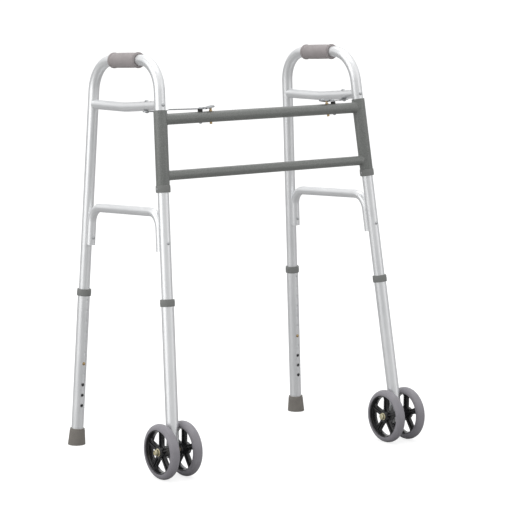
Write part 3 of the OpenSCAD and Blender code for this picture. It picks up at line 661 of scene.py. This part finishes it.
for side in SIDES:
    for end in ENDS:
        turned = side_place("right") @ turn(0, ENDS[end] * SPREAD)
        if side == "left":
            turned = np.diag([-1, 1, 1, 1]) @ turned @ np.diag([-1, 1, 1, 1])
        dress(f"{end}_extension_{side}", surface_finish(
            f"satin anodised {end} extension {side}", (0.84, 0.85, 0.86),
            (0.90, 0.905, 0.91), (0.38, 0.48), 0.0011, 0.05, metallic=1.0,
            upright=turned, cloud=0.06))


# ---- collars -------------------------------------------------------------------------
# Matte grey mouldings: a ring pinned under each hinge sleeve, which carries it, and a cap
# on top of each extension, which takes the rattle out of the joint.

COLLAR_R = 0.017
COLLAR_H = 0.0165
COLLAR_S = 0.3824
collar_lip = 0.004
EXTENSION_R = 0.0143
MOULDED = surface_finish(
    "moulded grey plastic", (0.185, 0.19, 0.182), (0.235, 0.24, 0.232), (0.46, 0.58),
    0.0006, 0.22, worn=0.4, worn_colour=(0.33, 0.335, 0.325), Specular_IOR_Level=0.45)
for side in SIDES:
    ring = soften([(TUBE_R + 0.00005, -COLLAR_H), (COLLAR_R - 0.0004, -COLLAR_H),
                   (COLLAR_R, -COLLAR_H * 0.5), (COLLAR_R - 0.0004, 0),
                   (TUBE_R + 0.00005, 0)], 0.0013)
    make_piece(f"stop_collar_{side}_moulded", [(lathe(ring + [0, SLEEVE_BOTTOM], 72), True)],
               leg_place(side, "front"), MOULDED, f"side_frame_{side}",
               f"stop_collar_{side}")
    for end in ENDS:
        low, top = -COLLAR_H / 2, COLLAR_H / 2
        cap = soften([(EXTENSION_R + 0.00005, low), (COLLAR_R - 0.0003, low), (COLLAR_R, 0),
                      (COLLAR_R - 0.0004, top), (TUBE_R + 0.0001, top),
                      (TUBE_R + 0.0001, top - collar_lip),
                      (EXTENSION_R + 0.00005, top - collar_lip)], 0.0014)
        make_piece(f"{end}_collar_{side}_moulded", [(lathe(cap + [0, COLLAR_S], 72), True)],
                   leg_place(side, end), MOULDED, f"{end}_leg_{side}",
                   f"{end}_collar_{side}")


# ---- rubber tips ---------------------------------------------------------------------
# Tapered ferrules of warm grey rubber pushed onto the rear extensions, standing flat on
# the floor, with a raised band round the mouth and two grooves round the foot.

tip_h = 0.039
tip_top_r = 0.0176
TIP_RUBBER = surface_finish(
    "warm grey rubber", (0.185, 0.172, 0.155), (0.235, 0.22, 0.20), (0.60, 0.75),
    0.0005, 0.30, worn=0.3, worn_colour=(0.30, 0.28, 0.25), Specular_IOR_Level=0.3)
tip = soften([
    (0.0, -0.003), (TIP_R, -0.003), (TIP_R, 0.0035), (TIP_R - 0.0005, 0.0042),
    (TIP_R - 0.0001, 0.0049), (tip_top_r + 0.0006, tip_h - 0.0045),
    (tip_top_r, tip_h - 0.0038), (tip_top_r, tip_h),
    (EXTENSION_R + 0.00005, tip_h), (EXTENSION_R + 0.00005, 0.006), (0.0, 0.006)],
    0.0012, closed=False)
for side in SIDES:
    place = leg_place(side, "rear") @ shift(0, 0, FLOOR_S)
    ferrule = lathe(tip, 80) @ place[:3, :3].T + place[:3, 3]
    ferrule[..., 2] = np.maximum(ferrule[..., 2], 0)
    make_piece(f"rubber_tip_{side}_tapered", [ferrule], np.eye(4), TIP_RUBBER,
               f"rear_leg_{side}", f"rubber_tip_{side}")


# ---- wheels --------------------------------------------------------------------------
# Two five-spoke wheels on each front leg: a glossy black moulded hub with ribbed spokes,
# a grey non-marking tyre with a fine mould line, and a flanged bush on the outer side.

WHEEL_GAP = 0.0619
TYRE_W = 0.024
RIM_R = WHEEL_R - 0.013
rim_w = 0.020
boss_r = 0.0145
boss_out = 0.011
boss_in = WHEEL_GAP / 2 - EXTENSION_R / np.cos(SPLAY) - boss_r * np.tan(SPLAY) - 0.0003
spoke_count = 5
TYRE_RUBBER = surface_finish(
    "grey tyre rubber", (0.24, 0.23, 0.25), (0.30, 0.29, 0.315), (0.30, 0.42),
    0.0007, 0.16, worn=0.25, worn_colour=(0.36, 0.35, 0.37), Specular_IOR_Level=0.45)
HUB_BLACK = surface_finish(
    "glossy black plastic", (0.012, 0.012, 0.013), (0.022, 0.022, 0.024), (0.14, 0.26),
    0.0008, 0.05, worn=0.5, worn_colour=(0.07, 0.07, 0.072), Coat_Weight=0.3,
    Coat_Roughness=0.08)
NYLON = surface_finish(
    "natural nylon", (0.60, 0.56, 0.40), (0.70, 0.66, 0.50), (0.35, 0.5), 0.0006, 0.08,
    Subsurface_Weight=0.1, Subsurface_Radius=(0.002, 0.0016, 0.001))

# the tyre's section: a circle, cut flat where it sits on the rim, with a mould line
a = np.linspace(-1, 1, 41) * np.radians(171)
crown = np.stack([WHEEL_R - TYRE_W / 2 + TYRE_W / 2 * np.cos(a), TYRE_W / 2 * np.sin(a)], 1)
crown[:, 0] = np.maximum(crown[:, 0], RIM_R + 0.00005)
crown[20, 0] -= 0.0002
crown[[18, 22], 0] -= 0.0003

# a spoke: a rounded bar from boss to rim, widening into both, with a rib down its middle
reach = np.linspace(boss_r - 0.002, RIM_R - 0.0035, 26)
flare = 0.0035 * np.exp(-(reach - boss_r) / 0.003) \
    + 0.0060 * np.exp(-(RIM_R - 0.005 - reach) / 0.0045)
psi = np.linspace(0, 2 * np.pi, 28, endpoint=False)


def bar_section(half_w, half_t, power=0.45):
    """Superellipse sections: w |cos|^p across and t |sin|^p thick, one for each reach."""
    c, s = np.cos(psi), np.sin(psi)
    across = half_w[:, None] * np.sign(c) * np.abs(c) ** power
    deep = half_t[:, None] * np.sign(s) * np.abs(s) ** power
    return capped(np.stack([np.broadcast_to(reach[:, None], across.shape), across, deep], -1))


spoke = bar_section(0.0068 + flare, np.full(26, 0.003))
rib = bar_section(np.full(26, 0.0017), 0.0075 - 0.0022 * (reach - boss_r) / RIM_R)
edge_rib = bar_section(np.full(26, 0.0009), np.full(26, 0.0042))
spokes = []
for k in range(spoke_count):
    spin = turn(2, np.pi + 2 * np.pi * k / spoke_count)[:3, :3].T
    spokes += [spoke @ spin, rib @ spin]
    for lean_to in (-1, 1):
        spokes.append((edge_rib + [0, lean_to * 0.0055, 0]) @ spin)

rim = soften([
    (RIM_R, -rim_w / 2), (RIM_R, rim_w / 2), (RIM_R - 0.0022, rim_w / 2),
    (RIM_R - 0.0030, rim_w / 2 - 0.003), (RIM_R - 0.0046, 0.0032), (RIM_R - 0.0052, 0),
    (RIM_R - 0.0046, -0.0032), (RIM_R - 0.0030, 0.003 - rim_w / 2),
    (RIM_R - 0.0022, -rim_w / 2)], 0.0008)
bush_r = 0.00705
boss = soften([
    (bush_r, -boss_in), (boss_r - 0.003, -boss_in), (boss_r - 0.0012, -0.008),
    (boss_r, -0.004), (boss_r, 0.0085), (boss_r - 0.0008, boss_out - 0.0006),
    (boss_r - 0.0022, boss_out - 0.0006), (boss_r - 0.0026, boss_out - 0.0014),
    (0.0104, boss_out - 0.0014), (0.0101, boss_out), (0.00905, boss_out),
    (0.00905, boss_out - 0.0015), (bush_r, boss_out - 0.0015)], 0.0004)
flange = soften([
    (0.00405, -boss_in), (0.007, -boss_in), (0.007, boss_out - 0.0015),
    (0.009, boss_out - 0.0015), (0.009, boss_out), (0.0052, boss_out),
    (0.00405, boss_out - 0.0008)], 0.0003)
for side in SIDES:
    axle = (leg_place("right", "front") @ [0, 0, AXLE_S, 1])[:3]
    to_side = np.diag([SIDES[side], 1, 1, 1]) @ shift(*axle)
    for wheel, out in (("outer", 1), ("inner", -1)):
        place = to_side @ np.diag([out, 1, 1, 1]) @ shift(WHEEL_GAP / 2, 0, 0) \
            @ turn(1, np.pi / 2)
        body = f"wheel_{side}_{wheel}"
        make_piece(f"tyre_{side}_{wheel}_moulded", [(lathe(crown, 112), True)], place,
                   TYRE_RUBBER, body, f"tyre_{side}_{wheel}")
        make_piece(f"hub_{side}_{wheel}_spoked",
                   [(lathe(rim, 96), True), (lathe(boss, 64), True), *spokes], place,
                   HUB_BLACK, body, f"hub_{side}_{wheel}")
        make_piece(f"hub_bearing_{side}_{wheel}_turned", [(lathe(flange, 48), True)], place,
                   NYLON, body, f"hub_bearing_{side}_{wheel}")


# ---- axle bolts ----------------------------------------------------------------------
# One yellow-zinc hex bolt goes through both wheels and the leg, and is held by a lock nut
# whose nylon ring shows round the thread's end.

axle_r = 0.004
flats_r = 0.0065
YELLOW_ZINC = surface_finish(
    "yellow zinc plate", (0.62, 0.56, 0.36), (0.78, 0.73, 0.52), (0.24, 0.38), 0.0007, 0.06,
    metallic=0.9, worn=0.4, worn_colour=(0.8, 0.8, 0.78))
bolt_end = WHEEL_GAP / 2 + boss_out + 0.0004


def hexagon(profile, around=72):
    """A lathe profile whose full radius follows a hexagon: r / cos of the angle to a flat.

    Points at the profile's largest radius lie on the flats; smaller ones stay round.
    """
    rows = lathe(profile, around)
    t = np.linspace(0, 2 * np.pi, around, endpoint=False)
    off_flat = (t + np.pi / 6) % (np.pi / 3) - np.pi / 6
    limit = (profile[:, 0].max() / np.cos(off_flat))[None, :]
    r = np.minimum(limit, profile[:, :1] * np.where(profile[:, :1] > 0.0062, 1.16, 1))
    scale = r / np.maximum(profile[:, :1], 1e-9)
    rows[..., :2] *= scale[..., None]
    return rows


shank = np.array([(0, -bolt_end), (axle_r, -bolt_end), (axle_r, bolt_end + 0.0062),
                  (axle_r - 0.0008, bolt_end + 0.0070), (0, bolt_end + 0.0070)])
head = soften([(0, -bolt_end), (flats_r, -bolt_end), (flats_r, -bolt_end - 0.0046),
               (0.0058, -bolt_end - 0.0053), (0, -bolt_end - 0.0054)], 0.0003, closed=False)
nut = soften([(axle_r + 0.00005, bolt_end), (flats_r, bolt_end), (flats_r, bolt_end + 0.0052),
              (0.0058, bolt_end + 0.0058), (0.0056, bolt_end + 0.0074),
              (0.0050, bolt_end + 0.0079), (axle_r + 0.00005, bolt_end + 0.0079)], 0.0003)
for side in SIDES:
    axle = (leg_place("right", "front") @ [0, 0, AXLE_S, 1])[:3]
    place = np.diag([SIDES[side], 1, 1, 1]) @ shift(*axle) @ turn(1, np.pi / 2)
    make_piece(f"axle_bolt_{side}_hex",
               [lathe(shank, 40), hexagon(head), (hexagon(nut), True)], place,
               YELLOW_ZINC, f"front_leg_{side}", f"axle_bolt_{side}")


# ---- rivets, bolts and latches -------------------------------------------------------
# Small steel and brass parts: the rivets of the braces, the pivot bolt under each upper
# brace, the slotted latch strips with their thumb paddles, the catches and the studs.

BRIGHT_ZINC = surface_finish(
    "bright zinc plate", (0.50, 0.51, 0.52), (0.66, 0.67, 0.68), (0.26, 0.42), 0.0008, 0.07,
    metallic=1.0, cloud=0.008)
SPRING_STRIP = surface_finish(
    "zinc plated spring steel", (0.30, 0.31, 0.32), (0.44, 0.45, 0.46), (0.28, 0.44),
    0.0009, 0.06, metallic=1.0, cloud=0.01)
BRASS = surface_finish(
    "dull brass", (0.42, 0.29, 0.14), (0.56, 0.41, 0.22), (0.26, 0.40), 0.0006, 0.06,
    metallic=1.0, cloud=0.006)
BLACK_NYLON = surface_finish(
    "black nylon", (0.013, 0.013, 0.012), (0.024, 0.024, 0.022), (0.38, 0.52), 0.0005, 0.14)
BLUED_SPRING = surface_finish(
    "blued spring steel", (0.20, 0.21, 0.24), (0.32, 0.33, 0.36), (0.30, 0.42), 0.0006, 0.05,
    metallic=1.0)
dress("latch_bushes", BLACK_NYLON)
dress("latch_studs", BRASS)
dress("latch_rivets", BRIGHT_ZINC)
for side in SIDES:
    dress(f"frame_rivets_{side}", BRIGHT_ZINC)
    dress(f"brace_bolt_{side}", BRIGHT_ZINC)
    dress(f"latch_strip_{side}", SPRING_STRIP)
    dress(f"paddle_catch_{side}", BRASS)
    for end in ENDS:
        dress(f"snap_button_{end}_{side}", BRASS)
        dress(f"snap_spring_{end}_{side}", BLUED_SPRING)

# the thumb paddles: pressed oval shells with a turned-down rim, domed a little on top; a
# tongue joins each to the bead that turns in the strip's curl. Place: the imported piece's.
paddle_l = 0.028
paddle_rise = np.radians(13)
bead_r = 0.0013
tongue_half_w = 0.0055
tongue_half_t = 0.00075
shell_half_l = 0.012
shell_half_w = 0.010
t = np.linspace(0, 2 * np.pi, 72, endpoint=False)


def squared(power):
    """Points round a superellipse of half width 1: |cos|^p and |sin|^p with their signs."""
    c, s = np.cos(t), np.sin(t)
    return np.stack([np.sign(c) * np.abs(c) ** power, np.sign(s) * np.abs(s) ** power], 1)


oval = squared(0.85) * [shell_half_l, shell_half_w]
rings = np.array([
    (0.0, 0.0021), (0.35, 0.0020), (0.65, 0.0015), (0.85, 0.0008), (0.95, 0.0001),
    (1.0, -0.0010), (1.0, -0.0036), (0.91, -0.0036), (0.91, -0.0012), (0.8, -0.0006),
    (0.0, 0.0002)])
shell = np.concatenate([
    rings[:, :1, None] * oval[None] + [paddle_l - shell_half_l, 0],
    np.broadcast_to(rings[:, 1, None, None], (len(rings), len(t), 1))], axis=2)
edge = squared(0.4) * [tongue_half_w, tongue_half_t]
tongue = capped(np.stack([
    np.concatenate([np.full((len(t), 1), x), edge], axis=1) for x in (0.0, 0.003, 0.0065)]))
bead = lathe(np.array([(0, -tongue_half_w), (bead_r, -tongue_half_w),
                       (bead_r, tongue_half_w), (0, tongue_half_w)]), 32)[..., [0, 2, 1]]
bar_way = np.arctan2(-np.sin(SPREAD + LEAN) * np.sin(SPLAY), -np.cos(SPLAY))
for side in SIDES:
    axes = leg_place(side, "front") @ turn(2, bar_way) @ turn(1, -paddle_rise)
    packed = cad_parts[f"release_paddle_{side}"]
    packed_points = np.array([packed.matrix_world @ v.co for v in packed.data.vertices])
    local = (packed_points - axes[:3, 3]) @ np.linalg.inv(axes[:3, :3]).T
    low, high = local.min(axis=0), local.max(axis=0)
    place = axes @ shift(high[0] - paddle_l, (low[1] + high[1]) / 2, (low[2] + high[2]) / 2)
    make_piece(f"release_paddle_{side}_pressed", [shell, tongue, bead], place, SPRING_STRIP,
               f"paddle_{side}", f"release_paddle_{side}")
